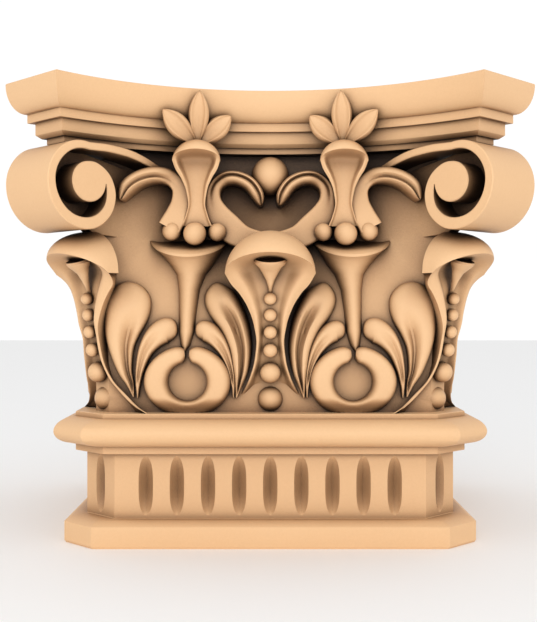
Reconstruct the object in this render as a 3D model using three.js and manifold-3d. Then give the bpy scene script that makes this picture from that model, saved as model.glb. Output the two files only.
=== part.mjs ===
// A carved Corinthian capital for a square pillar, in millimetres, +Z up.
// The origin is the middle of its underside.
// Three pieces stand on one another: a fluted base, the carved bell and a moulded abacus.
// The four sides are alike, so carving is made once for one side or corner and then turned round the axis.
import * as THREE from 'three';
import Module from 'manifold-3d';
import { mergeVertices } from 'three/addons/utils/BufferGeometryUtils.js';

const wasm = await Module();
wasm.setup();

// ---- Driving dimensions ----------------------------------------------------------------------------------
const ABACUS_HALF = 150;            // half the width over the abacus, which is the widest member
const SIDE_REACH = 96.1;            // from the axis to the middle of a hollowed abacus side
const HORN_FACE = 51.3;             // width of the flat that cuts each abacus corner
const BASE_TOP = 75.4;              // the bell stands here
const BELL_TOP = 227.7;             // the abacus lies here
const HEIGHT = 262.4;               // top of the abacus

// Base members: half widths over the flats, and how much each square's corners are cut back.
const PLINTH = { half: 119.2, cut: 18.4, arris: 0.8, arrisTop: 1.3, top: 12.7 };
const SHOULDER = { half: 115, cut: 17.1 };
const FRIEZE = { half: 108, cut: 18.9, bottom: 15.1, top: 52.6 };
const FILLET_HALF = 113.7;
const TORUS = { bottom: 56.9, top: 72.6, bulge: 11 };
const FLUTE = { perSide: 9, pitch: 17.8, width: 8.3, height: 34.2, depth: 4.2 };

// Abacus mouldings from the bottom: distance in from the top edge, and height.
const ABACUS_PROFILE = [[16.3, BELL_TOP], [16.3, 230.9], [14.3, 230.9], [11.7, 233.1], [11.7, 239.8],
  [8.5, 239.8]];
const OVOLO = { inset: 8.5, bottom: 244.7 };

const BELL_FOOT = 102;              // reach of a bell side at its foot
const BELL_NECK = 68;               // reach of a bell side under the abacus
const BELL_HOLLOW = 0.0031;         // how much each side curves forward towards the corners at the top
const BELL_CORNER = 138;            // diagonal reach of the bell
const BELL_BLEND = 90;              // height above which the bell draws in
const BELL_SHARES = [-0.82, -0.27, 0.27, 0.82];  // where each side is shaped, as shares of its half width
const SINK = 3;                     // how deep carved strips are set into the bell
const CORNER_SHIFT = 33.7;          // a corner leaf stands this much further out than a side leaf
const LEAF = { rim: 2.7, sideDrop: 4, hollow: 4, back: 70, foot: 75.4, top: 160 };

const SCROLL = { a: 162.1, z: 205.3, eye: 11.2, halfLength: 21.4, coreHalf: 5.4 };
const BALL = { z: 214.5, reach: 81, radius: 11.3 };
const MOTIF = 47.7;                 // from the middle of a side to the ring at the foot of each flower
const CORNET = { sink: 4, brim: 165, lift: 8, dip: 9 };
const BERRY_REACH = 98;
const BUD = { x: 42.5, foot: 184, reach: 94, lean: 0.16, back: 74, freeBack: 96, free: 225 };
const RING = { z: 93.2, across: 24.4, up: 20.8, eye: 10.8, rise: 9 };

const COLOUR = 0xe6bd8c;

// ---- Solids from rings of points -------------------------------------------------------------------------
const vec = (x, y, z) => new THREE.Vector3(x, y, z);

// Join rings of equally many points into one closed solid, each end closed to the middle of its ring.
function loft(rings) {
  const count = rings[0].length;
  const points = rings.flat();
  const faces = [];
  for (let r = 0; r < rings.length - 1; r += 1) {
    for (let i = 0; i < count; i += 1) {
      const a = r * count + i;
      const b = r * count + (i + 1) % count;
      faces.push(a, b, b + count, a, b + count, a + count);
    }
  }
  const last = (rings.length - 1) * count;
  const middle = (ring) => ring.reduce((sum, point) => sum.add(point), vec(0, 0, 0)).divideScalar(count);
  points.push(middle(rings[0]), middle(rings.at(-1)));
  for (let i = 0; i < count; i += 1) {
    const next = (i + 1) % count;
    faces.push(next, i, points.length - 2, last + i, last + next, points.length - 1);
  }
  const geometry = new THREE.BufferGeometry().setFromPoints(points);
  geometry.setIndex(faces);
  return geometry;
}

// Turn a closed geometry into a manifold solid whose faces point out.
function solid(geometry) {
  const bare = geometry.clone();
  bare.deleteAttribute('normal');
  bare.deleteAttribute('uv');
  const merged = mergeVertices(bare, 1e-4);
  const position = merged.getAttribute('position');
  const index = merged.getIndex().array;
  const corner = [vec(0, 0, 0), vec(0, 0, 0), vec(0, 0, 0)];
  const kept = [];
  let volume = 0;
  for (let i = 0; i < index.length; i += 3) {
    const [a, b, c] = index.slice(i, i + 3);
    if (a !== b && b !== c && c !== a) {
      kept.push(a, b, c);
      corner.forEach((point, k) => point.fromBufferAttribute(position, index[i + k]));
      volume += corner[0].dot(corner[1].cross(corner[2]));
    }
  }
  if (volume < 0) {
    kept.reverse();
  }
  return new wasm.Manifold(new wasm.Mesh({
    numProp: 3,
    vertProperties: new Float32Array(position.array),
    triVerts: new Uint32Array(kept),
  }));
}

const unite = (solids) => solids.reduce((sum, item) => sum.add(item));

function ball(x, reach, z, radius, sides = 5, bands = 3) {
  const geometry = new THREE.SphereGeometry(radius, sides, bands);
  geometry.rotateX(Math.PI / 2);
  geometry.translate(x, -reach, z);
  return solid(geometry);
}

// A smooth curve through values given at stations: along([[at, value], ...])(t).
function along(stations) {
  const stops = stations.map(([at, value]) => vec(at, value, 0));
  const curve = new THREE.CatmullRomCurve3(stops, false, 'centripetal');
  const samples = curve.getPoints(stations.length * 12);
  return (t) => {
    const k = samples.findIndex((point, i) => i > 0 && point.x >= t);
    if (k < 1) {
      return t <= samples[0].x ? samples[0].y : samples.at(-1).y;
    }
    const from = samples[k - 1];
    const share = (t - from.x) / (samples[k].x - from.x);
    return from.y + share * (samples[k].y - from.y);
  };
}

const spaced = (from, to, count) => Array.from({ length: count + 1 }, (_, i) => from + (to - from) * i / count);

// ---- Base -------------------------------------------------------------------------------------------------
function cutSquare(half, cut, z) {
  const inner = half - cut;
  const quarter = [[half, -inner], [half, inner]];
  return [0, 1, 2, 3].flatMap((turn) => quarter.map(([x, y]) => {
    return vec(x, y, z).applyAxisAngle(vec(0, 0, 1), turn * Math.PI / 2);
  }));
}

function flute() {
  const geometry = new THREE.SphereGeometry(1, 4, 4);
  geometry.rotateX(Math.PI / 2);
  geometry.scale(FLUTE.width / 2, FLUTE.depth, FLUTE.height / 2);
  geometry.translate(0, 0, (FRIEZE.bottom + FRIEZE.top) / 2);
  return solid(geometry);
}

function makeBase() {
  const torusMiddle = (TORUS.bottom + TORUS.top) / 2;
  const torusRadius = (TORUS.top - TORUS.bottom) / 2;
  const roll = spaced(-90, 90, 5).map((degrees) => {
    const angle = THREE.MathUtils.degToRad(degrees);
    const half = FILLET_HALF + TORUS.bulge * Math.cos(angle);
    return cutSquare(half, FRIEZE.cut, torusMiddle + torusRadius * Math.sin(angle));
  });
  const profile = [
    cutSquare(PLINTH.half - PLINTH.arris, PLINTH.cut, 0),
    cutSquare(PLINTH.half, PLINTH.cut, PLINTH.arrisTop),
    cutSquare(PLINTH.half, PLINTH.cut, PLINTH.top),
    cutSquare(SHOULDER.half, SHOULDER.cut, FRIEZE.bottom),
    cutSquare(FRIEZE.half, FRIEZE.cut, FRIEZE.bottom),
    cutSquare(FRIEZE.half, FRIEZE.cut, FRIEZE.top),
    cutSquare(FILLET_HALF, FRIEZE.cut, FRIEZE.top),
    ...roll,
    cutSquare(FILLET_HALF, FRIEZE.cut, BASE_TOP),
  ];
  const body = solid(loft(profile));
  const cornerReach = (FRIEZE.half * 2 - FRIEZE.cut) / Math.SQRT2;
  const flutes = [];
  for (let side = 0; side < 4; side += 1) {
    for (let i = 0; i < FLUTE.perSide; i += 1) {
      const x = (i - (FLUTE.perSide - 1) / 2) * FLUTE.pitch;
      flutes.push(flute().translate([x, -FRIEZE.half, 0]).rotate([0, 0, side * 90]));
    }
    flutes.push(flute().translate([0, -cornerReach, 0]).rotate([0, 0, 45 + side * 90]));
  }
  return body.subtract(unite(flutes));
}

// ---- Abacus -----------------------------------------------------------------------------------------------
// Plan of the abacus moved inwards by inset: four hollow sides with a flat at each corner.
function abacusPlan(inset, z) {
  const sideCorner = ABACUS_HALF - HORN_FACE / Math.SQRT2;
  const rise = ABACUS_HALF - SIDE_REACH;
  const centre = SIDE_REACH + (sideCorner ** 2 + rise ** 2) / (2 * rise);
  const radius = centre - SIDE_REACH + inset;
  const diagonal = (ABACUS_HALF + sideCorner) / Math.SQRT2 - inset;
  // The flat x + y = diagonal * sqrt(2) meets the side arc round (0, centre).
  const sum = diagonal * Math.SQRT2;
  const gap = centre - sum;
  const corner = (-gap + Math.sqrt(2 * radius ** 2 - gap ** 2)) / 2;
  const sweep = Math.asin(corner / radius);
  const side = spaced(-sweep, sweep, 7).map((angle) => {
    return vec(radius * Math.sin(angle), -(centre - radius * Math.cos(angle)), z);
  });
  return [0, 1, 2, 3].flatMap((turn) => side.map((point) => {
    return point.clone().applyAxisAngle(vec(0, 0, 1), turn * Math.PI / 2);
  }));
}

function makeAbacus() {
  const ovolo = spaced(0, 90, 4).map((degrees) => {
    const angle = THREE.MathUtils.degToRad(degrees);
    const rise = (HEIGHT - OVOLO.bottom) * (1 - Math.cos(angle));
    return [OVOLO.inset * (1 - Math.sin(angle)), OVOLO.bottom + rise];
  });
  return solid(loft([...ABACUS_PROFILE, ...ovolo].map(([inset, z]) => abacusPlan(inset, z))));
}

// ---- Bell body --------------------------------------------------------------------------------------------
const ease = (t) => t * t * (3 - 2 * t);

function bellReach(x, z) {
  const up = THREE.MathUtils.clamp((z - BELL_BLEND) / (BELL_TOP - BELL_BLEND), 0, 1);
  return BELL_FOOT - (BELL_FOOT - BELL_NECK) * ease(up) + BELL_HOLLOW * ease(up) * x * x;
}

function makeBody() {
  const upward = vec(0, 0, 1);
  const rings = [BASE_TOP, 130, 180, BELL_TOP].map((z) => {
    const side = BELL_SHARES.map((share) => {
      const x = share * (BELL_CORNER / Math.SQRT2);
      return vec(x, -bellReach(x, z), z);
    });
    const corner = vec(BELL_CORNER, 0, z).applyAxisAngle(upward, -Math.PI / 4);
    return [0, 1, 2, 3].flatMap((turn) => {
      return [...side, corner].map((point) => point.clone().applyAxisAngle(upward, turn * Math.PI / 2));
    });
  });
  return solid(loft(rings));
}

// ---- Leaves -----------------------------------------------------------------------------------------------
const leafWidth = along([[75.4, 30], [84.7, 18.2], [94.5, 12.3], [105.5, 9], [116.6, 7.9], [126, 9.3],
  [136, 12.9], [144, 17.8], [149, 22.8], [154.7, 25.6], [161, 24.9], [168.4, 22.1], [174, 16.3], [179.4, 1]]);
const leafRim = along([[75.4, 94], [81, 99], [86.5, 103.5], [94, 107.7], [106, 111.8], [116, 113.5],
  [137, 116], [147, 118], [157.6, 122]]);

// One level of a leaf: its back, its two sides and a hollow face or, where hood is given, a bulging one.
function leafRing(z, hood) {
  const half = leafWidth(z);
  const edge = leafRim(z);
  const rimShare = 1 - Math.min(LEAF.rim, half / 2) / half;
  const face = hood ? [[0.7, (edge + hood) / 2 + 3], [0, hood]] : [[rimShare, edge], [0, edge - LEAF.hollow]];
  const right = [[1, edge - LEAF.sideDrop], ...face].map(([share, reach]) => [share * half, reach]);
  const left = right.slice(0, 2).reverse().map(([x, reach]) => [-x, reach]);
  const back = half * 0.9;
  const plan = [[back, LEAF.back], ...right, ...left, [-back, LEAF.back]];
  return plan.map(([x, reach]) => vec(x, -reach, z));
}

function makeLeaf() {
  const rings = [LEAF.foot, 88, 118, 138, 152, LEAF.top].map((z) => leafRing(z));
  const hood = [[160.4, 133], [168, 137], [179, 121]].map(([z, reach]) => leafRing(z, reach));
  const beads = [[83, 101, 7.6], [98.4, 107, 6.4]].map(([z, reach, radius]) => ball(0, reach, z, radius));
  return unite([solid(loft([...rings, ...hood])), ...beads]);
}

// ---- Flower: ring, leaflets, cornet, berries, stalk, scrolls and blossom ------------------------------------
// A carved strip along a curve lying on the bell side. Stations hold [x, z, half width, rise above the side].
function strip(stations, steps, lift = 0) {
  const line = new THREE.CatmullRomCurve3(stations.map(([x, z]) => vec(x, 0, z)), false, 'centripetal');
  const half = along(stations.map((station, i) => [i, station[2]]));
  const rise = along(stations.map((station, i) => [i, station[3]]));
  const rings = spaced(0, 1, steps).map((t) => {
    const at = line.getPoint(t);
    const heading = line.getTangent(t);
    const place = t * (stations.length - 1);
    const cross = vec(heading.z, 0, -heading.x).multiplyScalar(half(place));
    const face = -bellReach(at.x, at.z) - lift;
    return [[-1, -SINK - lift], [0, rise(place)], [1, -SINK - lift]].map(([share, up]) => {
      return vec(at.x + share * cross.x, face - up, at.z + share * cross.z);
    });
  });
  return solid(loft(rings));
}

function makeRing() {
  const arc = spaced(8, 352, 8).map((degrees) => {
    const angle = THREE.MathUtils.degToRad(degrees);
    const outer = vec(RING.across * Math.sin(angle), 0, RING.up * Math.cos(angle));
    const inner = vec(RING.eye * Math.sin(angle), 0, RING.eye * Math.cos(angle));
    const cut = (point, up) => vec(MOTIF + point.x, -(BELL_FOOT + up), Math.max(BASE_TOP, RING.z + point.z));
    const between = (share) => inner.clone().lerp(outer, share);
    return [cut(inner, -SINK), cut(between(0.5), RING.rise), cut(outer, -SINK)];
  });
  return solid(loft(arc));
}

function makeCornet() {
  const stations = [[115.5, 49, 2.6, 3], [146, 47.8, 6.2, 8], [160, 45.6, 11, 12], [171, 46, 20, 20]];
  const rings = stations.map(([z, x, half, rise]) => spaced(0, 180, 4).map((degrees) => {
    const angle = THREE.MathUtils.degToRad(degrees);
    const up = z > CORNET.brim ? CORNET.lift - CORNET.dip * Math.sin(angle) : 0;
    const reach = bellReach(x, z) - CORNET.sink + (rise + CORNET.sink) * Math.sin(angle);
    return vec(x + half * Math.cos(angle), -reach, z + up);
  }));
  return solid(loft(rings));
}

function makeBud() {
  const stations = [[BUD.foot, 7, 4], [196, 4.4, 4.5], [208, 7.4, 6], [220, 13.8, 10], [227, 12.6, 12],
    [232.8, 3, 6]];
  const rings = stations.map(([z, half, depth]) => {
    const reach = BUD.reach + (z - BUD.foot) * BUD.lean;
    const back = z < BUD.free ? BUD.back : BUD.freeBack;
    const front = [[-1, 0], [-0.4, 1], [0.4, 1], [1, 0]].map(([side, out]) => {
      return vec(BUD.x + half * side, -(reach + depth * out), z);
    });
    return [...front, vec(BUD.x, -back, z)];
  });
  return solid(loft(rings));
}

// A pointed petal from its foot to its tip, both given as [x, reach, z].
function petal(foot, tip) {
  const start = vec(foot[0], -foot[1], foot[2]);
  const end = vec(tip[0], -tip[1], tip[2]);
  const heading = end.clone().sub(start).normalize();
  const cross = vec(heading.z, 0, -heading.x).normalize();
  const rings = [[0, 1.6], [0.5, 5.6], [1, 0.4]].map(([share, half]) => {
    const at = start.clone().lerp(end, share);
    return [[-1, -0.5], [0, 2.6], [1, -0.5]].map(([side, up]) => {
      return at.clone().addScaledVector(cross, side * half).add(vec(0, -up * Math.min(1, half / 3), 0));
    });
  });
  return solid(loft(rings));
}

function makeFlower() {
  const leaflets = [
    strip([[79.5, 87, 1, 3], [83.4, 99, 4.2, 6], [85.5, 115, 7.8, 8],
      [82.6, 134, 13, 8], [83.4, 149, 5, 3]], 3),
    strip([[75, 87, 0.8, 3], [74.3, 99, 2.5, 6], [70.5, 113, 5, 8],
      [62, 123, 7, 7], [57, 120, 3, 3]], 3),
    strip([[17.5, 87, 0.8, 3], [16.9, 99, 4.9, 7], [17.6, 115, 6.5, 9],
      [25, 134, 10.5, 8], [31.5, 146, 5, 3]], 3),
    strip([[22.5, 87, 0.8, 3], [22.8, 99, 1.8, 6], [28, 112.5, 4.4, 7],
      [36, 122.5, 6, 7], [40.5, 120, 2.6, 3]], 3),
  ];
  const berries = [[57.2, 179.3, 6.1], [43.7, 178.5, 7.2], [31.6, 177.8, 5.7]]
    .map(([x, z, radius]) => ball(x, BERRY_REACH, z, radius));
  const outward = strip([[57, 184, 4, 8], [53, 197, 5, 9], [55, 209, 5.4, 11], [65, 216.5, 5, 12],
    [77, 209, 4.4, 9], [84.5, 198, 2.4, 5]], 4, 10);
  const inward = strip([[4, 172, 5, 6], [20, 178, 8, 6], [30.5, 188, 7, 8], [31.5, 202, 4.6, 9],
    [26, 213.5, 4.4, 11], [14.5, 210.5, 4.4, 11], [6.6, 197, 2.4, 6]], 5, 12);
  const blossom = [
    petal([42.4, 100, 231.5], [40.4, 108, 260.4]),
    petal([44, 100, 231.5], [61, 110.5, 248.6]),
    petal([40.6, 99, 231.5], [22.9, 99.5, 247]),
  ];
  return unite([makeRing(), ...leaflets, makeCornet(), ...berries, makeBud(), outward, inward, ...blossom]);
}

// ---- Corner scrolls ---------------------------------------------------------------------------------------
// Reach of the scroll's outer and inner edges from its eye, by degrees travelled from the top of the scroll.
const scrollOuter = along([[0, 21.7], [45, 25], [90, 26.8], [135, 27], [180, 26.4], [245, 19.6], [300, 14.6],
  [360, SCROLL.eye]]);
const scrollInner = along([[0, 17.4], [45, 20.2], [90, 21.7], [135, 21.4], [180, 19.8], [245, 13.4],
  [272, SCROLL.eye]]);

function scrollPoint(degrees, radius) {
  const angle = THREE.MathUtils.degToRad(degrees);
  return new THREE.Vector2(SCROLL.a + radius * Math.sin(angle), SCROLL.z + radius * Math.cos(angle));
}

function makeScroll() {
  const point = ([a, z]) => new THREE.Vector2(a, z);
  const tailTop = [[113.2, 218.7], [134.3, 225.7], [148.2, 227.1]].map(point);
  const tailBottom = [[148.2, 222.9], [134.3, 221.4], [114.5, 214.6]].map(point);
  const outline = [
    ...tailTop,
    ...spaced(0, 345, 9).map((degrees) => scrollPoint(degrees, scrollOuter(degrees))),
    ...spaced(385, 615, 4).map((degrees) => scrollPoint(degrees, SCROLL.eye)),
    ...spaced(245, 0, 5).map((degrees) => scrollPoint(degrees, scrollInner(degrees))),
    ...tailBottom,
  ];
  const core = spaced(0, 200, 4).map((degrees) => scrollPoint(degrees, scrollOuter(degrees) - 2))
    .concat([[120, 182], [120, 216]].map(point));
  const bar = (points, half) => {
    const outlineShape = new THREE.Shape(points);
    const geometry = new THREE.ExtrudeGeometry(outlineShape, { depth: 2 * half, bevelEnabled: false });
    geometry.rotateX(Math.PI / 2);
    geometry.translate(0, half, 0);
    return solid(geometry).rotate([0, 0, -45]);
  };
  return bar(outline, SCROLL.halfLength).add(bar(core, SCROLL.coreHalf));
}

// ---- Bell -------------------------------------------------------------------------------------------------
function makeBell() {
  const leaf = makeLeaf();
  const cornerLeaf = leaf.translate([0, -CORNER_SHIFT, 0]).rotate([0, 0, 45]);
  const flower = makeFlower();
  const side = unite([leaf, cornerLeaf, flower, flower.mirror([1, 0, 0]), makeScroll(),
    ball(0, BALL.reach, BALL.z, BALL.radius, 7, 4)]);
  const carving = unite([0, 1, 2, 3].map((turn) => side.rotate([0, 0, turn * 90])));
  return makeBody().add(carving);
}

// ---- Assembly ---------------------------------------------------------------------------------------------
function mesh(name, shape) {
  const { vertProperties, triVerts } = shape.getMesh();
  const geometry = new THREE.BufferGeometry();
  geometry.setAttribute('position', new THREE.BufferAttribute(new Float32Array(vertProperties), 3));
  geometry.setIndex(new THREE.BufferAttribute(new Uint32Array(triVerts), 1));
  geometry.computeVertexNormals();
  const material = new THREE.MeshStandardMaterial({ color: COLOUR, roughness: 0.62, metalness: 0 });
  const part = new THREE.Mesh(geometry, material);
  part.name = name;
  return part;
}

const capital = new THREE.Group();
capital.add(mesh('base', makeBase()), mesh('bell', makeBell()), mesh('abacus', makeAbacus()));

export default capital;
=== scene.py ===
"""A carved Corinthian capital in pale wood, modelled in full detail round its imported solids."""
import math
import bpy
import numpy as np
from mathutils import Matrix, Vector


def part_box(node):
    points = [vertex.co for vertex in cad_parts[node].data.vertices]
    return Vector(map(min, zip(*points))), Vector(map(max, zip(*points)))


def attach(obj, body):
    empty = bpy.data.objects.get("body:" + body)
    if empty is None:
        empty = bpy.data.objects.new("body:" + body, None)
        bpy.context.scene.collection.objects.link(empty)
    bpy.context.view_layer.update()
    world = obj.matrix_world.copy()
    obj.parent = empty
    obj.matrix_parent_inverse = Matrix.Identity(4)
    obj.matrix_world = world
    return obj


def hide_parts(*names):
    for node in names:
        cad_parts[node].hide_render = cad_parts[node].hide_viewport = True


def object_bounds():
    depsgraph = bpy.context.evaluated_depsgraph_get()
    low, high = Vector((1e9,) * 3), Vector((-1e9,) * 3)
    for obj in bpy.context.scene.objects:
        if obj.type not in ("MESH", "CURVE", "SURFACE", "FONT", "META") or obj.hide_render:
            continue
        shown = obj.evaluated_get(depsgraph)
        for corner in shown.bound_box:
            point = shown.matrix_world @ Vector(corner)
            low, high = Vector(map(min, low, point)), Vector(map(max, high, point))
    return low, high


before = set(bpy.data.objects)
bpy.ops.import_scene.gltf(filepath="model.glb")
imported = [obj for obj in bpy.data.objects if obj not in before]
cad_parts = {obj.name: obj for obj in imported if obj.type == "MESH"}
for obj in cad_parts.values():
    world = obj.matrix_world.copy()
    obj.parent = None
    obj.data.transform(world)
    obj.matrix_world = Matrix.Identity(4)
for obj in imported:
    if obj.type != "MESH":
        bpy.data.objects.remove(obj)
cad_low, cad_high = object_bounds()

# ---- Sizes: everything below is in millimetres of a capital 300 mm wide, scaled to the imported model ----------
MM = (cad_high.x - cad_low.x) / 300.0
BASE_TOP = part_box("base")[1][2] / MM
ABACUS_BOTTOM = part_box("abacus")[0][2] / MM
HEIGHT = cad_high.z / MM

ABACUS_HALF = 150.0
SIDE_REACH = 96.1                   # from the axis to the middle of a hollowed abacus side
HORN_FACE = 51.3                    # width of the flat that cuts each abacus corner
PLINTH_HALF, PLINTH_CUT, PLINTH_TOP = 119.2, 18.4, 12.7
FRIEZE_HALF, FRIEZE_CUT, FRIEZE_BOTTOM, FRIEZE_TOP = 108.0, 18.9, 15.1, 52.6
FILLET_HALF = 113.7
TORUS_BOTTOM, TORUS_TOP, TORUS_BULGE = 56.9, 72.6, 10.9
FLUTES, FLUTE_PITCH, FLUTE_HALF_WIDTH, FLUTE_HALF_HEIGHT, FLUTE_DEPTH = 9, 17.8, 4.15, 17.1, 5.4

BELL_FOOT, BELL_NECK, BELL_HOLLOW, BELL_CORNER = 102.0, 68.0, 0.0031, 138.0
CORNER_SHIFT = 33.7                 # a corner leaf stands this much further out than a side leaf
MOTIF_X, MOTIF_Z = 47.7, 93.2       # middle of the ring at the foot of each flower
SCROLL_A, SCROLL_Z, SCROLL_EYE, SCROLL_HALF = 162.1, 205.3, 11.2, 21.4


# ---- Curves and solids ---------------------------------------------------------------------------------------
def smooth(stations, at):
    """Values of a smooth curve through stations [(at, value, ...)], without overshoot, at the places asked."""
    table = np.asarray(stations, float)
    x, y = table[:, 0], table[:, 1:]
    at = np.clip(np.asarray(at, float), x[0], x[-1])
    rise = np.diff(y, axis=0) / np.diff(x)[:, None]
    slope = np.zeros_like(y)
    both = rise[:-1] * rise[1:]
    total = rise[:-1] + rise[1:]
    slope[1:-1] = np.where(both > 0, 2 * both / np.where(both > 0, total, 1), 0)
    slope[0], slope[-1] = rise[0], rise[-1]
    k = np.clip(np.searchsorted(x, at, side="right") - 1, 0, len(x) - 2)
    width = (x[k + 1] - x[k])[..., None]
    t = ((at - x[k]) / (x[k + 1] - x[k]))[..., None]
    value = ((1 + 2 * t) * (1 - t) ** 2 * y[k] + t * (1 - t) ** 2 * width * slope[k]
             + t * t * (3 - 2 * t) * y[k + 1] + t * t * (t - 1) * width * slope[k + 1])
    return value[..., 0] if value.shape[-1] == 1 else value


def spline(points, t):
    """Points on a centripetal-looking Catmull-Rom curve through the given rows; t runs from 0 to 1."""
    rows = np.asarray(points, float)
    rows = np.vstack([2 * rows[0] - rows[1], rows, 2 * rows[-1] - rows[-2]])
    spans = len(rows) - 3
    place = np.clip(np.asarray(t, float) * spans, 0, spans - 1e-9)
    k = place.astype(int)
    f = (place - k)[..., None]
    a, b, c, d = rows[k], rows[k + 1], rows[k + 2], rows[k + 3]
    return 0.5 * (2 * b + (c - a) * f + (2 * a - 5 * b + 4 * c - d) * f ** 2 + (3 * b - a - 3 * c + d) * f ** 3)


def ease(t):
    t = np.clip(t, 0, 1)
    return t * t * (3 - 2 * t)


def dome(t):
    return np.sqrt(np.clip(1 - np.asarray(t, float) ** 2, 0, 1))


class Solid:
    """A closed triangle-or-quad shell in millimetres, as x, reach towards the viewer of that side, and z."""

    def __init__(self, points, faces):
        self.points = np.asarray(points, float).reshape(-1, 3)
        self.faces = faces

    def placed(self, turn=0.0, mirror=False, out=0.0):
        """World points and faces after moving the solid out, mirroring it and turning it about the axis."""
        x, reach, z = self.points.T
        x = -x if mirror else x
        y = -(reach + out)
        c, s = math.cos(turn), math.sin(turn)
        return np.column_stack([c * x - s * y, s * x + c * y, z])


def tube(rings):
    """A closed solid through rings of equally many points, each end closed to the middle of its ring."""
    rings = np.asarray(rings, float)
    rows, count, _ = rings.shape
    points = np.vstack([rings.reshape(-1, 3), rings[0].mean(0), rings[-1].mean(0)])
    faces = []
    for r in range(rows - 1):
        for i in range(count):
            a, b = r * count + i, r * count + (i + 1) % count
            faces.append((a, b, b + count, a + count))
    last, low, high = (rows - 1) * count, rows * count, rows * count + 1
    for i in range(count):
        j = (i + 1) % count
        faces.append((j, i, low))
        faces.append((last + i, last + j, high))
    return Solid(points, faces)


def slab(front, back):
    """A closed solid between two grids of points that have the same rows and columns."""
    rings = np.concatenate([front, back[:, ::-1]], axis=1)
    return tube(rings)


def ball(x, reach, z, radius, sides=28, bands=16):
    turns = np.linspace(0, 2 * math.pi, sides, endpoint=False)
    rings = []
    for tilt in np.linspace(-math.pi / 2, math.pi / 2, bands + 1)[1:-1]:
        ring = radius * math.cos(tilt)
        rings.append(np.column_stack([x + ring * np.cos(turns), reach + ring * np.sin(turns),
                                      np.full(sides, z + radius * math.sin(tilt))]))
    rings = np.asarray(rings)
    solid = tube(rings)
    solid.points[-2] = (x, reach, z - radius)
    solid.points[-1] = (x, reach, z + radius)
    return solid


# ---- Bell body -------------------------------------------------------------------------------------------------
def bell_reach(x, z):
    up = ease((np.asarray(z, float) - 90) / (ABACUS_BOTTOM - 90))
    return BELL_FOOT - (BELL_FOOT - BELL_NECK) * up + BELL_HOLLOW * up * np.asarray(x, float) ** 2


def quarter_turns(side):
    """Repeat a side's plan points, given as x and reach, round the four sides, as world x and y."""
    x, y = side[:, 0], -side[:, 1]
    turned = []
    for turn in range(4):
        c, s = round(math.cos(turn * math.pi / 2)), round(math.sin(turn * math.pi / 2))
        turned.append(np.column_stack([c * x - s * y, s * x + c * y]))
    return np.vstack(turned)


def world_tube(levels):
    """A closed solid through plans [(plan as world x and y, z)], given back in x, reach, z."""
    rings = [np.column_stack([plan[:, 0], -plan[:, 1], np.full(len(plan), z)]) for plan, z in levels]
    return tube(rings)


def body():
    levels = []
    total = BELL_CORNER * math.sqrt(2)
    for z in np.linspace(BASE_TOP, ABACUS_BOTTOM, 40):
        tries = np.linspace(60, 110, 400)
        limit = tries[np.argmax(tries + bell_reach(tries, z) >= total)]
        x = np.linspace(-limit, limit, 25)
        side = np.column_stack([x, bell_reach(x, z)])
        levels.append((quarter_turns(side), z))
    return world_tube(levels)


# ---- Hooded leaf: the big leaves and, smaller, the buds on the stalks ------------------------------------------
def hooded(outline, rim, edge, hood, depths, back, taper=0.55, rows=90, across=48):
    """A leaf with raised rims whose top turns over into a hood.

    outline: (z, half width) from the foot to the widest place; rim: (z, rim width); edge: (z, reach of the rim);
    hood: half width, z of the widest place, rise of the lip, rise of the top;
    depths: (z, depth of the hollow below the rim), reach of the lip, reach of the hood's outer edge.
    """
    half, z_wide, lip_rise, top_rise = hood
    hollow, lip_reach, brow_reach = depths
    z_foot = outline[0][0]
    v = np.sin(np.linspace(-1, 1, across + 1) * math.pi / 2)
    v = 0.5 * v + 0.5 * np.linspace(-1, 1, across + 1)
    arch = z_wide + lip_rise * dome(v)
    side_reach = smooth(edge, z_wide)
    ridge = side_reach + (lip_reach - side_reach) * dome(v) ** 1.3
    s = np.concatenate([np.linspace(0, 0.9, rows - 18, endpoint=False), np.linspace(0.9, 1, 19)])
    front = []
    for share in s:
        z_ref = z_foot + share * (z_wide - z_foot)
        width = smooth(outline, z_ref)
        band = min(smooth(rim, z_ref), width * 0.8)
        z = z_foot + share * (arch - z_foot)
        crest = smooth(edge, z_ref)
        crest_at = 1 - 0.45 * band / width
        inner = np.clip(np.abs(v) / crest_at, 0, 1)
        outer = np.clip((np.abs(v) - crest_at) / (1 - crest_at), 0, 1)
        rolled = 1 - np.clip((1 - inner) * width * crest_at / (0.9 * band), 0, 1)
        bowl = 0.45 * inner ** 2 + 0.55 * ease(rolled)
        depth = smooth(hollow, z_ref) * (1 - bowl)
        fall = 0.55 * band * (1 - dome(outer * 0.98))
        reach = crest - depth - fall
        under = np.clip((share - 0.86) / 0.14, 0, 1)
        lift = under ** 5 * 0.75 + under ** 2 * 0.25
        reach = reach + (ridge - reach) * lift
        front.append(np.column_stack([v * width, reach, z]))
    brow = side_reach - 7 + (brow_reach - side_reach + 7) * dome(v)
    for q in np.sin(np.linspace(0, math.pi / 2, 26))[1:]:
        z = z_wide + (lip_rise + (top_rise - lip_rise) * q) * dome(v)
        reach = brow + (ridge - brow) * dome(q)
        front.append(np.column_stack([v * half, reach, z]))
    front = np.asarray(front)
    rear = front.copy()
    rear[:, :, 0] *= taper
    rear[:, :, 1] = np.minimum(back, front[:, :, 1].min(axis=1) - 3)[:, None]
    return slab(front, rear)


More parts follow.
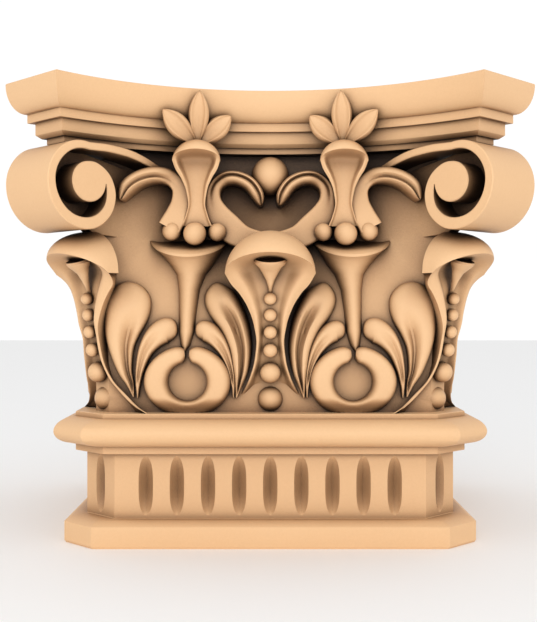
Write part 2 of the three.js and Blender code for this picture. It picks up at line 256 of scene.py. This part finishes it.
def leaf(back, taper):
    outline = [(75.6, 30.5), (79, 23.8), (84.7, 18.2), (94.5, 12.3), (105.5, 9.0), (116.6, 7.9), (126.1, 9.3),
               (136.2, 12.9), (144.1, 17.8), (149, 22.2), (155, 25.6)]
    rim = [(75.6, 1.5), (85, 4.6), (95, 3.6), (116, 3.0), (130, 4.0), (142, 6.0), (152, 9.0), (155, 9.0)]
    edge = [(75.6, 96.0), (81, 99.5), (86.5, 103), (94, 107.7), (106, 111.8), (116, 113.5), (126, 115.9),
            (147, 116.4), (155, 119)]
    hollow = [(75.6, 3.0), (86, 4), (100, 4.5), (116, 3.5), (135, 3.5), (147, 5), (155, 7)]
    return hooded(outline, rim, edge, (25.6, 155.0, 11.0, 24.4), (hollow, 137.0, 112.0), back, taper)


def leaf_details():
    beads = [(83.0, 101.1, 7.3), (98.4, 107.4, 6.0), (111.4, 111.3, 4.0), (121.7, 113.2, 3.75),
             (131.5, 114.2, 3.7), (140.8, 115.2, 3.6)]
    parts = [ball(0, reach, z, radius) for z, reach, radius in beads]
    rings = []
    for z, half, rise in [(143, 0.9, 1.6), (147, 1.3, 2.0), (151, 2.4, 2.6), (155, 4.4, 3.4), (158, 6.8, 4.4),
                          (159.5, 8.6, 6.0), (161, 9.3, 7.2), (162.2, 8.8, 7.0)]:
        turn = np.linspace(-math.pi / 2, math.pi / 2, 21)
        dip = 0 if z < 157 else 2.6
        rings.append(np.column_stack([half * np.sin(turn), 112.4 + (z - 143) * 0.42 + rise * np.cos(turn),
                                      z + dip * (1 - np.cos(turn)) - dip * 0.6]))
    parts.append(tube(rings))
    return parts


def bud():
    x_mid = 42.6
    outline = [(183, 9.0), (188, 6.9), (195.9, 5.0), (204, 6.2), (210, 8.6), (216, 12.2), (220.6, 13.8)]
    rim = [(183, 1.6), (196, 1.5), (208, 2.0), (220.6, 3.6)]
    edge = [(183, 100.5), (196, 101.5), (210, 104), (220.6, 106)]
    hollow = [(183, 1.6), (196, 2.2), (210, 4.6), (220.6, 8.5)]
    solid = hooded(outline, rim, edge, (13.8, 220.6, 5.4, 12.3), (hollow, 113.0, 101.0), 90.0, rows=60, across=32)
    solid.points[:, 0] += x_mid
    low = solid.points[:, 2] < ABACUS_BOTTOM - 1
    rear = solid.points[:, 1] < 91
    solid.points[low & rear, 1] = 76.0
    solid.points[~low & rear, 1] = 97.0
    return solid


# ---- Flower parts ------------------------------------------------------------------------------------------------
def strip(stations, rise, section, steps=48, across=22, lift=0.0, sink=7.0, tip=0.16):
    """A carved band along a curve on the bell side.

    stations: (x, z, half width); rise: (place from 0 to 1, height); section(v, t): share of the height.
    """
    t = np.linspace(0, 1, steps + 1)
    t = 0.7 * t + 0.3 * ease(t)
    line = spline(stations, t)
    heading = np.gradient(line[:, :2], t, axis=0)
    heading /= np.linalg.norm(heading, axis=1)[:, None]
    cross = np.column_stack([heading[:, 1], -heading[:, 0]])
    half = np.maximum(line[:, 2], 0.15)
    half = half * np.where(t > 1 - tip, np.maximum(dome((t - 1 + tip) / tip), 0.04), 1)
    height = smooth(rise, t) * np.where(t > 1 - tip, 0.35 + 0.65 * dome((t - 1 + tip) / tip), 1)
    v = np.sin(np.linspace(-1, 1, across + 1) * math.pi / 2)
    front, rear = [], []
    for i, place in enumerate(t):
        x = line[i, 0] + v * half[i] * cross[i, 0]
        z = line[i, 1] + v * half[i] * cross[i, 1]
        ground = bell_reach(line[i, 0], line[i, 1]) + lift
        front.append(np.column_stack([x, ground + height[i] * section(v, place), z]))
        rear.append(np.column_stack([x, np.full_like(x, ground - sink - lift), z]))
    return slab(np.asarray(front), np.asarray(rear))


def rounded(v, _):
    return 0.25 + 0.75 * dome(np.abs(v) ** 1.6)


def ribbon(v, t):
    """A flat band with crisp edges that turns round and folds along its middle as it curls."""
    curl = ease((t - 0.35) / 0.3)
    flat = 0.55 + 0.45 * dome(np.abs(v) ** 6)
    fold = 0.3 * curl * np.exp(-((v - 0.25) / 0.22) ** 2)
    return flat + (rounded(v, t) - flat) * curl - fold


def grooved(at, width, deep, start=0.0, end=0.92):
    """A rounded section with a groove that runs at v = at from start to end along the band."""
    def section(v, t):
        fade = ease((t - start) / 0.15) * ease((end - t) / 0.25)
        return rounded(v, t) - deep * fade * np.exp(-((v - at) / width) ** 2)
    return section


def leaflets():
    tall_outer = strip([(78.6, 84.5, 0.6), (80.6, 92, 2.4), (83.6, 100, 4.4), (85.6, 112, 7.4), (85.2, 122, 10.4),
                        (83.0, 133, 13.2), (82.6, 141, 13.4), (83.0, 151.0, 12.2)],
                       [(0, 4), (0.3, 8), (0.7, 9.5), (1, 8)], grooved(-0.35, 0.30, 0.55, 0.0, 0.78), tip=0.18)
    low_outer = strip([(76.2, 84, 0.5), (75.9, 92, 1.6), (74.6, 101, 2.9), (71.6, 111, 4.6), (66.4, 118.6, 6.6),
                       (60.4, 122.4, 7.6), (53.6, 121.6, 7.4)],
                      [(0, 4), (0.3, 7), (0.7, 9), (1, 8)], grooved(0.1, 0.4, 0.3, 0.1, 0.8), tip=0.18)
    tall_inner = strip([(19.4, 84, 0.6), (18.2, 92, 2.6), (17.0, 101, 5.0), (17.2, 113, 7.0), (20.6, 125, 8.8),
                        (26.0, 135, 10.0), (30.2, 143, 9.4), (32.4, 150.6, 7.0)],
                       [(0, 4), (0.3, 8), (0.7, 9.5), (1, 8)], grooved(-0.1, 0.24, 0.5, 0.0, 0.85), tip=0.2)
    low_inner = strip([(21.2, 84, 0.5), (21.4, 92, 1.3), (22.8, 101, 2.2), (26.4, 110.6, 3.8), (31.6, 118, 5.4),
                       (37.6, 122, 6.4), (43.4, 121.2, 6.2)],
                      [(0, 4), (0.3, 7), (0.7, 8.5), (1, 7)], grooved(0.1, 0.4, 0.3, 0.1, 0.8), tip=0.18)
    return [tall_outer, low_outer, tall_inner, low_inner]


def ring():
    """Two lobes round a hollow, which meet at the top with a split between them."""
    parts = []
    for hand in (-1, 1):
        front, rear = [], []
        for degrees in np.linspace(4, 184, 60):
            angle = math.radians(degrees) * hand
            to_end = math.radians(degrees - 1.2)
            round_off = float(dome(1 - min(1.0, max(to_end, 0.02) * 16 / 5.0)))
            inner = np.array([11.0 * math.sin(angle), 11.0 * math.cos(angle)])
            outer = np.array([25.2 * math.sin(angle), 20.9 * math.cos(angle)])
            middle = 0.5 * (inner + outer)
            v = np.sin(np.linspace(-1, 1, 21) * math.pi / 2)
            flat = middle + v[:, None] * 0.5 * (outer - inner) * round_off
            height = 9.5 * (0.12 + 0.88 * dome(np.abs(v) ** 2.0)) * (0.4 + 0.6 * round_off)
            foot = ease((MOTIF_Z + flat[:, 1] - BASE_TOP) / 9.0)
            height = height * (0.45 + 0.55 * foot)
            z = np.maximum(MOTIF_Z + flat[:, 1], BASE_TOP + 0.02)
            front.append(np.column_stack([MOTIF_X + flat[:, 0], BELL_FOOT + height, z]))
            rear.append(np.column_stack([MOTIF_X + flat[:, 0], np.full(len(v), 90.0), z]))
        parts.append(slab(np.asarray(front), np.asarray(rear)))
    return parts


def cornet():
    rings = []
    turn = np.linspace(0, math.pi, 33)
    stations = [(110.5, 49.3, 0.8, 4.0, 0, 0), (114, 49.1, 3.2, 5.0, 0, 0), (122, 48.6, 5.0, 6.4, 0, 0),
                (133, 48.2, 5.4, 7.2, 0, 0), (146, 47.6, 6.4, 8.4, 0, 0), (155, 46.6, 8.9, 10.6, 0.5, 0),
                (162, 46.4, 13.0, 13.6, 2.5, 1), (166.5, 47.2, 18.6, 16.6, 8.0, 3), (168.5, 48.0, 22.3, 18.8, 12.0, 4.6),
                (169.6, 48.3, 23.6, 20.4, 13.4, 5.2), (171.0, 48.3, 23.4, 20.8, 12.8, 5.2),
                (172.6, 48.2, 22.0, 20.0, 10.4, 4.6), (173.6, 48.0, 19.6, 17.6, 7.6, 3.6)]
    for z, x, half, rise, lift, tilt in stations:
        side = x + half * np.cos(turn)
        reach = bell_reach(x, z) - 4 + (rise + 4) * np.sin(turn) ** 0.85
        height = z - 2.6 * (half > 12) + lift * (1 - np.sin(turn)) * 0.95 - tilt * 0.4 + 0.05 * tilt * np.cos(turn)
        rings.append(np.column_stack([side, reach, height]))
    return tube(rings)


def petal(foot, tip, half, depth=2.6):
    """A pointed petal with raised edges and a valley, from foot to tip, both (x, reach, z)."""
    foot, tip = np.asarray(foot, float), np.asarray(tip, float)
    heading = (tip - foot) / np.linalg.norm(tip - foot)
    cross = np.array([heading[2], 0, -heading[0]])
    cross /= np.linalg.norm(cross)
    v = np.linspace(-1, 1, 25)
    front, rear = [], []
    for t in np.linspace(0, 1, 36):
        width = half * max(math.sin(math.pi * min(1.0, 0.1 + 0.9 * t) ** 1.3) ** 0.8, 0.02)
        rim = np.exp(-((np.abs(v) - 0.74) / 0.2) ** 2)
        valley = 1 - 0.55 * np.clip(1 - np.abs(v) / 0.7, 0, 1) * ease(1.6 * (1 - t)) * ease(3 * t)
        edge = dome(np.clip((np.abs(v) - 0.74) / 0.26, 0, 1) * 0.97)
        height = depth * (0.55 * valley + 0.45 * rim) * edge * (0.3 + 0.7 * width / half)
        at = foot + heading * (t * np.linalg.norm(tip - foot)) + np.outer(v * width, cross)
        back = at.copy()
        back[:, 1] -= 1.6
        at[:, 1] += height
        front.append(at)
        rear.append(back)
    return slab(np.asarray(front), np.asarray(rear))


def blossom():
    return [petal((42.4, 99.5, 231.0), (40.4, 106.6, 260.3), 6.0),
            petal((43.4, 100.0, 230.5), (61.3, 110.3, 248.8), 6.3),
            petal((41.2, 99.0, 230.5), (22.7, 99.2, 247.2), 6.3)]


def helices():
    outward = strip([(58.5, 182, 7.0), (54.4, 190, 6.6), (52.2, 198, 5.6), (53.0, 206, 4.8), (58.4, 211.8, 4.6),
                     (66.8, 213.2, 4.6), (75.6, 210.6, 4.6), (82.6, 205, 4.4), (86.2, 197.6, 3.4)],
                    [(0, 6), (0.45, 7), (0.62, 10), (0.8, 10), (1, 6)], ribbon, steps=70, lift=12.0, sink=9, tip=0.14)
    inward = strip([(-1.5, 174.5, 4.5), (8, 175.6, 5.4), (17, 177.6, 7.0), (25.0, 183.4, 8.0), (31.4, 191.6, 6.8),
                    (34.0, 200, 4.9), (32.6, 207.6, 4.2), (27.0, 212.2, 4.0), (19.6, 212.6, 4.0), (12.4, 209.2, 4.2),
                    (7.8, 203, 4.0), (5.4, 196, 3.2)],
                   [(0, 4), (0.3, 5), (0.55, 7), (0.7, 11), (0.85, 11), (1, 7)], ribbon, steps=96, lift=13.0,
                   sink=9, tip=0.1)
    return [outward, inward]


def flower():
    berries = [ball(57.2, 98.6, 180.2, 5.6), ball(43.7, 101.4, 178.5, 6.7), ball(30.9, 97.6, 179.7, 5.3)]
    return [*leaflets(), *ring(), cornet(), *berries, bud(), *helices(), *blossom()]


# ---- Corner scroll -------------------------------------------------------------------------------------------------
SCROLL_OUTER = [(0, 21.7), (45, 25.2), (90, 26.9), (135, 27.2), (180, 26.4), (215, 23.4), (245, 19.8), (280, 15.6),
                (320, 12.4), (360, 11.2)]
SCROLL_INNER = [(0, 17.5), (45, 20.3), (90, 21.8), (135, 21.5), (180, 19.8), (215, 16.8), (245, 13.2), (268, 11.2)]


def scroll_point(degrees, radius):
    angle = np.radians(degrees)
    return np.column_stack([SCROLL_A + radius * np.sin(angle), SCROLL_Z + radius * np.cos(angle)])


def bar(outline, half, corner=0.5):
    """A bar with the outline (diagonal reach, z) across the diagonal plane, its end edges eased by corner."""
    outline = np.asarray(outline, float)
    following = np.roll(outline, -1, axis=0) - np.roll(outline, 1, axis=0)
    inward = np.column_stack([-following[:, 1], following[:, 0]])
    inward /= np.linalg.norm(inward, axis=1)[:, None]
    area = 0.5 * np.sum(outline[:, 0] * np.roll(outline[:, 1], -1) - np.roll(outline[:, 0], -1) * outline[:, 1])
    inward *= 1 if area > 0 else -1
    rings = []
    for side, inset in [(-half, corner), (-half + corner, 0.0), (half - corner, 0.0), (half, corner)]:
        flat = outline + inward * inset
        rings.append(np.column_stack([np.full(len(flat), side), flat[:, 0], flat[:, 1]]))
    count = len(outline)
    points = np.vstack(rings)
    faces = [tuple(range(count))[::-1], tuple(range(3 * count, 4 * count))]
    for r in range(3):
        for i in range(count):
            j = (i + 1) % count
            faces.append((r * count + i, r * count + j, (r + 1) * count + j, (r + 1) * count + i))
    return Solid(points, faces)


def scroll():
    over = np.linspace(0, 356, 120)
    eye = np.linspace(364, 626, 70)
    under = np.linspace(266, 0, 90)
    tail_top = spline([(113.2, 218.7), (123.5, 222.8), (134.3, 225.7), (148.2, 227.1), (160, 227.0)],
                      np.linspace(0, 1, 24))[:-1]
    tail_bottom = spline([(160, 222.8), (148.2, 222.9), (134.3, 221.4), (123.5, 218.5), (114.4, 214.6)],
                         np.linspace(0, 1, 24))[1:]
    outline = np.vstack([tail_top, scroll_point(over, smooth(SCROLL_OUTER, over)),
                         scroll_point(eye, np.full(len(eye), SCROLL_EYE)),
                         scroll_point(under, smooth(SCROLL_INNER, under)), tail_bottom])
    core_turn = np.linspace(0, 200, 50)
    core = np.vstack([scroll_point(core_turn, smooth(SCROLL_OUTER, core_turn) - 2), [(148, 178)], [(120, 176)], [(120, 216)]])
    return [bar(outline, SCROLL_HALF), bar(core, 4.5)]


# ---- Base and abacus ----------------------------------------------------------------------------------------------
def cut_square(half, cut, z, round_by=0.6):
    """Plan of a square with cut corners whose arrises are slightly eased."""
    inner = half - cut
    side = np.column_stack([np.linspace(-inner, inner, 9), np.full(9, half)])
    side = np.vstack([[(-inner - round_by * 0.7, half - round_by * 0.7)], side, [(inner + round_by * 0.7, half - round_by * 0.7)]])
    return quarter_turns(side), z


def base():
    levels = [cut_square(PLINTH_HALF - 0.8, PLINTH_CUT, 0.0), cut_square(PLINTH_HALF - 0.2, PLINTH_CUT, 1.0),
              cut_square(PLINTH_HALF, PLINTH_CUT, 1.4), cut_square(PLINTH_HALF, PLINTH_CUT, PLINTH_TOP - 0.4),
              cut_square(PLINTH_HALF - 0.4, PLINTH_CUT, PLINTH_TOP), cut_square(115, 17.1, FRIEZE_BOTTOM),
              cut_square(FRIEZE_HALF + 0.3, FRIEZE_CUT, FRIEZE_BOTTOM),
              cut_square(FRIEZE_HALF, FRIEZE_CUT, FRIEZE_BOTTOM + 0.3), cut_square(FRIEZE_HALF, FRIEZE_CUT, FRIEZE_TOP),
              cut_square(FILLET_HALF - 0.3, FRIEZE_CUT, FRIEZE_TOP), cut_square(FILLET_HALF, FRIEZE_CUT, FRIEZE_TOP + 0.3),
              cut_square(FILLET_HALF, FRIEZE_CUT, TORUS_BOTTOM)]
    middle, radius = (TORUS_BOTTOM + TORUS_TOP) / 2, (TORUS_TOP - TORUS_BOTTOM) / 2
    for angle in np.radians(np.linspace(-86, 86, 23)):
        levels.append(cut_square(FILLET_HALF + TORUS_BULGE * math.cos(angle), FRIEZE_CUT, middle + radius * math.sin(angle), 1.2))
    levels += [cut_square(FILLET_HALF, FRIEZE_CUT, TORUS_TOP), cut_square(FILLET_HALF, FRIEZE_CUT, BASE_TOP - 0.3),
               cut_square(FILLET_HALF - 0.3, FRIEZE_CUT, BASE_TOP)]
    return world_tube(levels)


def flute(x, reach):
    """An almond-shaped cut with a keel along its middle."""
    rings = []
    for t in np.linspace(-0.99, 0.99, 31):
        width = FLUTE_HALF_WIDTH * (1 - abs(t) ** 3.2) ** 0.6
        deep = FLUTE_DEPTH * (1 - abs(t) ** 2.4)
        side = np.array([-1, -1, -0.72, -0.4, 0, 0.4, 0.72, 1, 1]) * width
        out = np.array([3, 0, -0.42, -0.78, -1, -0.78, -0.42, 0, 3]) * np.array([1, 1] + [deep] * 5 + [1, 1])
        z = (FRIEZE_BOTTOM + FRIEZE_TOP) / 2 + FLUTE_HALF_HEIGHT * t
        rings.append(np.column_stack([x + side, reach + out, np.full(9, z)]))
    return tube(rings)


def abacus_plan(inset, z):
    """Plan of the abacus moved inwards by inset: four hollow sides with a flat at each corner."""
    side_corner = ABACUS_HALF - HORN_FACE / math.sqrt(2)
    rise = ABACUS_HALF - SIDE_REACH
    centre = SIDE_REACH + (side_corner ** 2 + rise ** 2) / (2 * rise)
    radius = centre - SIDE_REACH + inset
    gap = centre - ((ABACUS_HALF + side_corner) / math.sqrt(2) - inset) * math.sqrt(2)
    corner = (-gap + math.sqrt(2 * radius ** 2 - gap ** 2)) / 2
    sweep = math.asin(corner / radius)
    angles = np.linspace(-sweep, sweep, 49)
    side = np.column_stack([radius * np.sin(angles), centre - radius * np.cos(angles)])
    return quarter_turns(side), z


def abacus():
    levels = [abacus_plan(16.3, ABACUS_BOTTOM), abacus_plan(16.3, 230.9), abacus_plan(14.3, 230.9),
              abacus_plan(11.9, 232.9), abacus_plan(11.7, 233.2), abacus_plan(11.7, 239.8), abacus_plan(8.7, 239.8),
              abacus_plan(8.5, 240.0), abacus_plan(8.5, 244.7)]
    for angle in np.radians(np.linspace(2, 90, 22)):
        levels.append(abacus_plan(8.5 * (1 - math.sin(angle)), 244.7 + (HEIGHT - 0.4 - 244.7) * (1 - math.cos(angle))))
    levels += [abacus_plan(0.3, HEIGHT)]
    return world_tube(levels)


# ---- Blender objects ----------------------------------------------------------------------------------------------
def make_object(name, solid, **place):
    """A Blender mesh of one solid, closed and facing out."""
    points = solid.placed(**place) * MM
    mesh = bpy.data.meshes.new(name)
    mesh.from_pydata(points.tolist(), [], [list(face) for face in solid.faces])
    merge(mesh)
    obj = bpy.data.objects.new(name, mesh)
    bpy.context.scene.collection.objects.link(obj)
    return obj


def merge(mesh):
    import bmesh
    work = bmesh.new()
    work.from_mesh(mesh)
    bmesh.ops.remove_doubles(work, verts=work.verts, dist=1e-6)
    bmesh.ops.dissolve_degenerate(work, edges=work.edges, dist=1e-7)
    bmesh.ops.triangulate(work, faces=work.faces)
    bmesh.ops.recalc_face_normals(work, faces=work.faces)
    if work.calc_volume(signed=True) < 0:
        bmesh.ops.reverse_faces(work, faces=work.faces)
    work.to_mesh(mesh)
    work.free()


def boolean(target, others, operation):
    """Join or cut closed meshes into target, one after another, and drop them."""
    for other in others:
        modifier = target.modifiers.new("join", "BOOLEAN")
        modifier.solver = "MANIFOLD"
        modifier.operation = operation
        modifier.object = other
        depsgraph = bpy.context.evaluated_depsgraph_get()
        done = bpy.data.meshes.new_from_object(target.evaluated_get(depsgraph))
        target.modifiers.clear()
        old = target.data
        target.data = done
        bpy.data.meshes.remove(old)
        bpy.data.objects.remove(other, do_unlink=True)
    return target


def turned_copy(obj, turn, mirror=False):
    twin = obj.copy()
    twin.data = obj.data.copy()
    bpy.context.scene.collection.objects.link(twin)
    twin.data.transform(Matrix.Rotation(turn, 4, "Z"))
    if mirror:
        twin.data.transform(Matrix.Scale(-1, 4, (1, 0, 0)))
        twin.data.flip_normals()
    return twin


def finish_piece(obj, node, material, sharp=34):
    obj.data.materials.clear()
    obj.data.materials.append(material)
    obj.data.shade_smooth()
    obj.data.set_sharp_from_angle(angle=math.radians(sharp))
    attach(obj, "root")
    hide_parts(node)
    return obj


def make_bell():
    half_flower = [make_object("flower_part", part) for part in flower()]
    flower_obj = boolean(half_flower[0], half_flower[1:], "UNION")
    twin = turned_copy(flower_obj, 0, mirror=True)
    side_parts = [leaf(62.0, 0.55), *leaf_details()]
    corner_parts = [leaf(98.0, 0.2), *leaf_details()]
    side_leaf = [make_object("leaf_part", part) for part in side_parts]
    corner_leaf = [make_object("leaf_part", part, turn=math.pi / 4, out=CORNER_SHIFT) for part in corner_parts]
    scrolls = [make_object("scroll_part", part, turn=math.pi / 4) for part in scroll()]
    middle_ball = make_object("ball", ball(0, 81, 214.5, 11.3, 48, 28))
    side = boolean(flower_obj, [twin, *side_leaf, *corner_leaf, *scrolls, middle_ball], "UNION")
    turns = [turned_copy(side, k * math.pi / 2) for k in (1, 2, 3)]
    bell = boolean(make_object("bell_carved", body()), [side, *turns], "UNION")
    bell.name = "bell_carved"
    return bell


def make_base():
    obj = make_object("base_moulded", base())
    corner_reach = (2 * FRIEZE_HALF - FRIEZE_CUT) / math.sqrt(2)
    cuts = []
    for quarter in range(4):
        for i in range(FLUTES):
            x = (i - (FLUTES - 1) / 2) * FLUTE_PITCH
            cuts.append(make_object("flute", flute(x, FRIEZE_HALF), turn=quarter * math.pi / 2))
        cuts.append(make_object("flute", flute(0, corner_reach), turn=(quarter + 0.5) * math.pi / 2))
    return boolean(obj, cuts, "DIFFERENCE")


# ---- Materials ------------------------------------------------------------------------------------------------------
def wood(name, painted_shade_own_piece_only=False):
    """Pale, evenly sanded wood with a fine speckle, with painted shade that darkens its colour in creases, recesses and
    under overhangs.
    """
    material = bpy.data.materials.new(name)
    material.use_nodes = True
    nodes, links = material.node_tree.nodes, material.node_tree.links
    shader = nodes["Principled BSDF"]
    shader.inputs["Roughness"].default_value = 0.55
    shader.inputs["Specular IOR Level"].default_value = 0.25
    place = nodes.new("ShaderNodeTexCoord")
    speckle = nodes.new("ShaderNodeTexNoise")
    speckle.inputs["Scale"].default_value = 900
    speckle.inputs["Detail"].default_value = 3
    cloud = nodes.new("ShaderNodeTexNoise")
    cloud.inputs["Scale"].default_value = 14
    cloud.inputs["Detail"].default_value = 4
    links.new(place.outputs["Object"], speckle.inputs["Vector"])
    links.new(place.outputs["Object"], cloud.inputs["Vector"])
    grain = nodes.new("ShaderNodeMix")
    grain.data_type = "RGBA"
    grain.inputs["A"].default_value = (0.73, 0.45, 0.24, 1)
    grain.inputs["B"].default_value = (0.82, 0.53, 0.29, 1)
    blend = nodes.new("ShaderNodeMath")
    blend.operation = "ADD"
    half = nodes.new("ShaderNodeMath")
    half.operation = "MULTIPLY"
    half.inputs[1].default_value = 0.5
    links.new(speckle.outputs["Fac"], blend.inputs[0])
    links.new(cloud.outputs["Fac"], blend.inputs[1])
    links.new(blend.outputs[0], half.inputs[0])
    links.new(half.outputs[0], grain.inputs["Factor"])
    # painted shade: this ambient-occlusion reading darkens the base colour in creases, recesses, under overhangs and
    # between parts, where shade falls
    cuts = nodes.new("ShaderNodeAmbientOcclusion")
    cuts.inputs["Distance"].default_value = 0.035
    cuts.samples = 8
    cuts.only_local = painted_shade_own_piece_only
    # the ramp turns the occlusion reading into painted shade: near black in the deepest creases, white in the open
    ramp = nodes.new("ShaderNodeValToRGB")
    first, last = ramp.color_ramp.elements
    first.position, first.color = 0.12, (0.01, 0.006, 0.004, 1)
    last.position, last.color = 0.95, (1, 1, 1, 1)
    for position, colour in [(0.32, (0.14, 0.11, 0.09, 1)), (0.52, (0.46, 0.41, 0.37, 1)),
                             (0.74, (0.80, 0.76, 0.73, 1))]:
        step = ramp.color_ramp.elements.new(position)
        step.color = colour
    links.new(cuts.outputs["AO"], ramp.inputs["Fac"])
    # multiply the painted shade into the wood colour
    shade = nodes.new("ShaderNodeMix")
    shade.data_type = "RGBA"
    shade.blend_type = "MULTIPLY"
    shade.inputs["Factor"].default_value = 1.0
    links.new(grain.outputs["Result"], shade.inputs["A"])
    links.new(ramp.outputs["Color"], shade.inputs["B"])
    links.new(shade.outputs["Result"], shader.inputs["Base Color"])
    bump = nodes.new("ShaderNodeBump")
    bump.inputs["Strength"].default_value = 0.12
    bump.inputs["Distance"].default_value = 0.0003
    links.new(speckle.outputs["Fac"], bump.inputs["Height"])
    links.new(bump.outputs["Normal"], shader.inputs["Normal"])
    return material


# ---- Camera, floor and light --------------------------------------------------------------------------------------
def camera():
    data = bpy.data.cameras.new("camera")
    data.sensor_width = 36
    data.lens = 59.5
    data.clip_start = 0.05
    obj = bpy.data.objects.new("camera", data)
    obj.location = Vector((-1.0, -696.2, 133.8)) * MM
    obj.rotation_euler = (math.pi / 2, 0, 0)
    bpy.context.scene.collection.objects.link(obj)
    bpy.context.scene.camera = obj


def floor():
    mesh = bpy.data.meshes.new("floor")
    size = 4.0
    mesh.from_pydata([(-size, -size, 0), (size, -size, 0), (size, size, 0), (-size, size, 0)], [], [(0, 1, 2, 3)])
    obj = bpy.data.objects.new("floor", mesh)
    bpy.context.scene.collection.objects.link(obj)
    material = bpy.data.materials.new("floor_white")
    material.use_nodes = True
    shader = material.node_tree.nodes["Principled BSDF"]
    shader.inputs["Base Color"].default_value = (0.95, 0.95, 0.95, 1)
    shader.inputs["Roughness"].default_value = 0.9
    shader.inputs["Specular IOR Level"].default_value = 0.0
    mesh.materials.append(material)


def area_light(name, place, size, power):
    data = bpy.data.lights.new(name, "AREA")
    data.size = size
    data.energy = power
    obj = bpy.data.objects.new(name, data)
    obj.location = place
    toward = Vector((0, 0, 0.13)) - Vector(place)
    obj.rotation_euler = toward.to_track_quat("-Z", "Y").to_euler()
    bpy.context.scene.collection.objects.link(obj)


def lights():
    area_light("front_light", (-0.15, -1.6, 0.5), 0.7, 9)
    area_light("fill_light", (0.7, -1.4, 0.3), 0.9, 2)
    world = bpy.data.worlds.new("studio")
    world.use_nodes = True
    nodes, links = world.node_tree.nodes, world.node_tree.links
    background = nodes["Background"]
    background.inputs["Strength"].default_value = 1.02
    direction = nodes.new("ShaderNodeTexCoord")
    parts = nodes.new("ShaderNodeSeparateXYZ")
    backdrop = nodes.new("ShaderNodeValToRGB")
    dim, white = backdrop.color_ramp.elements
    dim.position, dim.color = 0.0, (0.8, 0.8, 0.8, 1)
    white.position, white.color = 0.5, (1, 1, 1, 1)
    links.new(direction.outputs["Generated"], parts.inputs[0])
    links.new(parts.outputs["Y"], backdrop.inputs["Fac"])
    links.new(backdrop.outputs["Color"], background.inputs["Color"])
    bpy.context.scene.world = world
    bpy.context.scene.view_settings.view_transform = "Standard"


camera()
floor()
lights()
# the base's painted shade counts only its own geometry, so the floor does not darken the plinth
finish_piece(make_base(), "base", wood("base_wood", painted_shade_own_piece_only=True))
finish_piece(make_bell(), "bell", wood("bell_wood"))
finish_piece(make_object("abacus_moulded", abacus()), "abacus", wood("abacus_wood"))
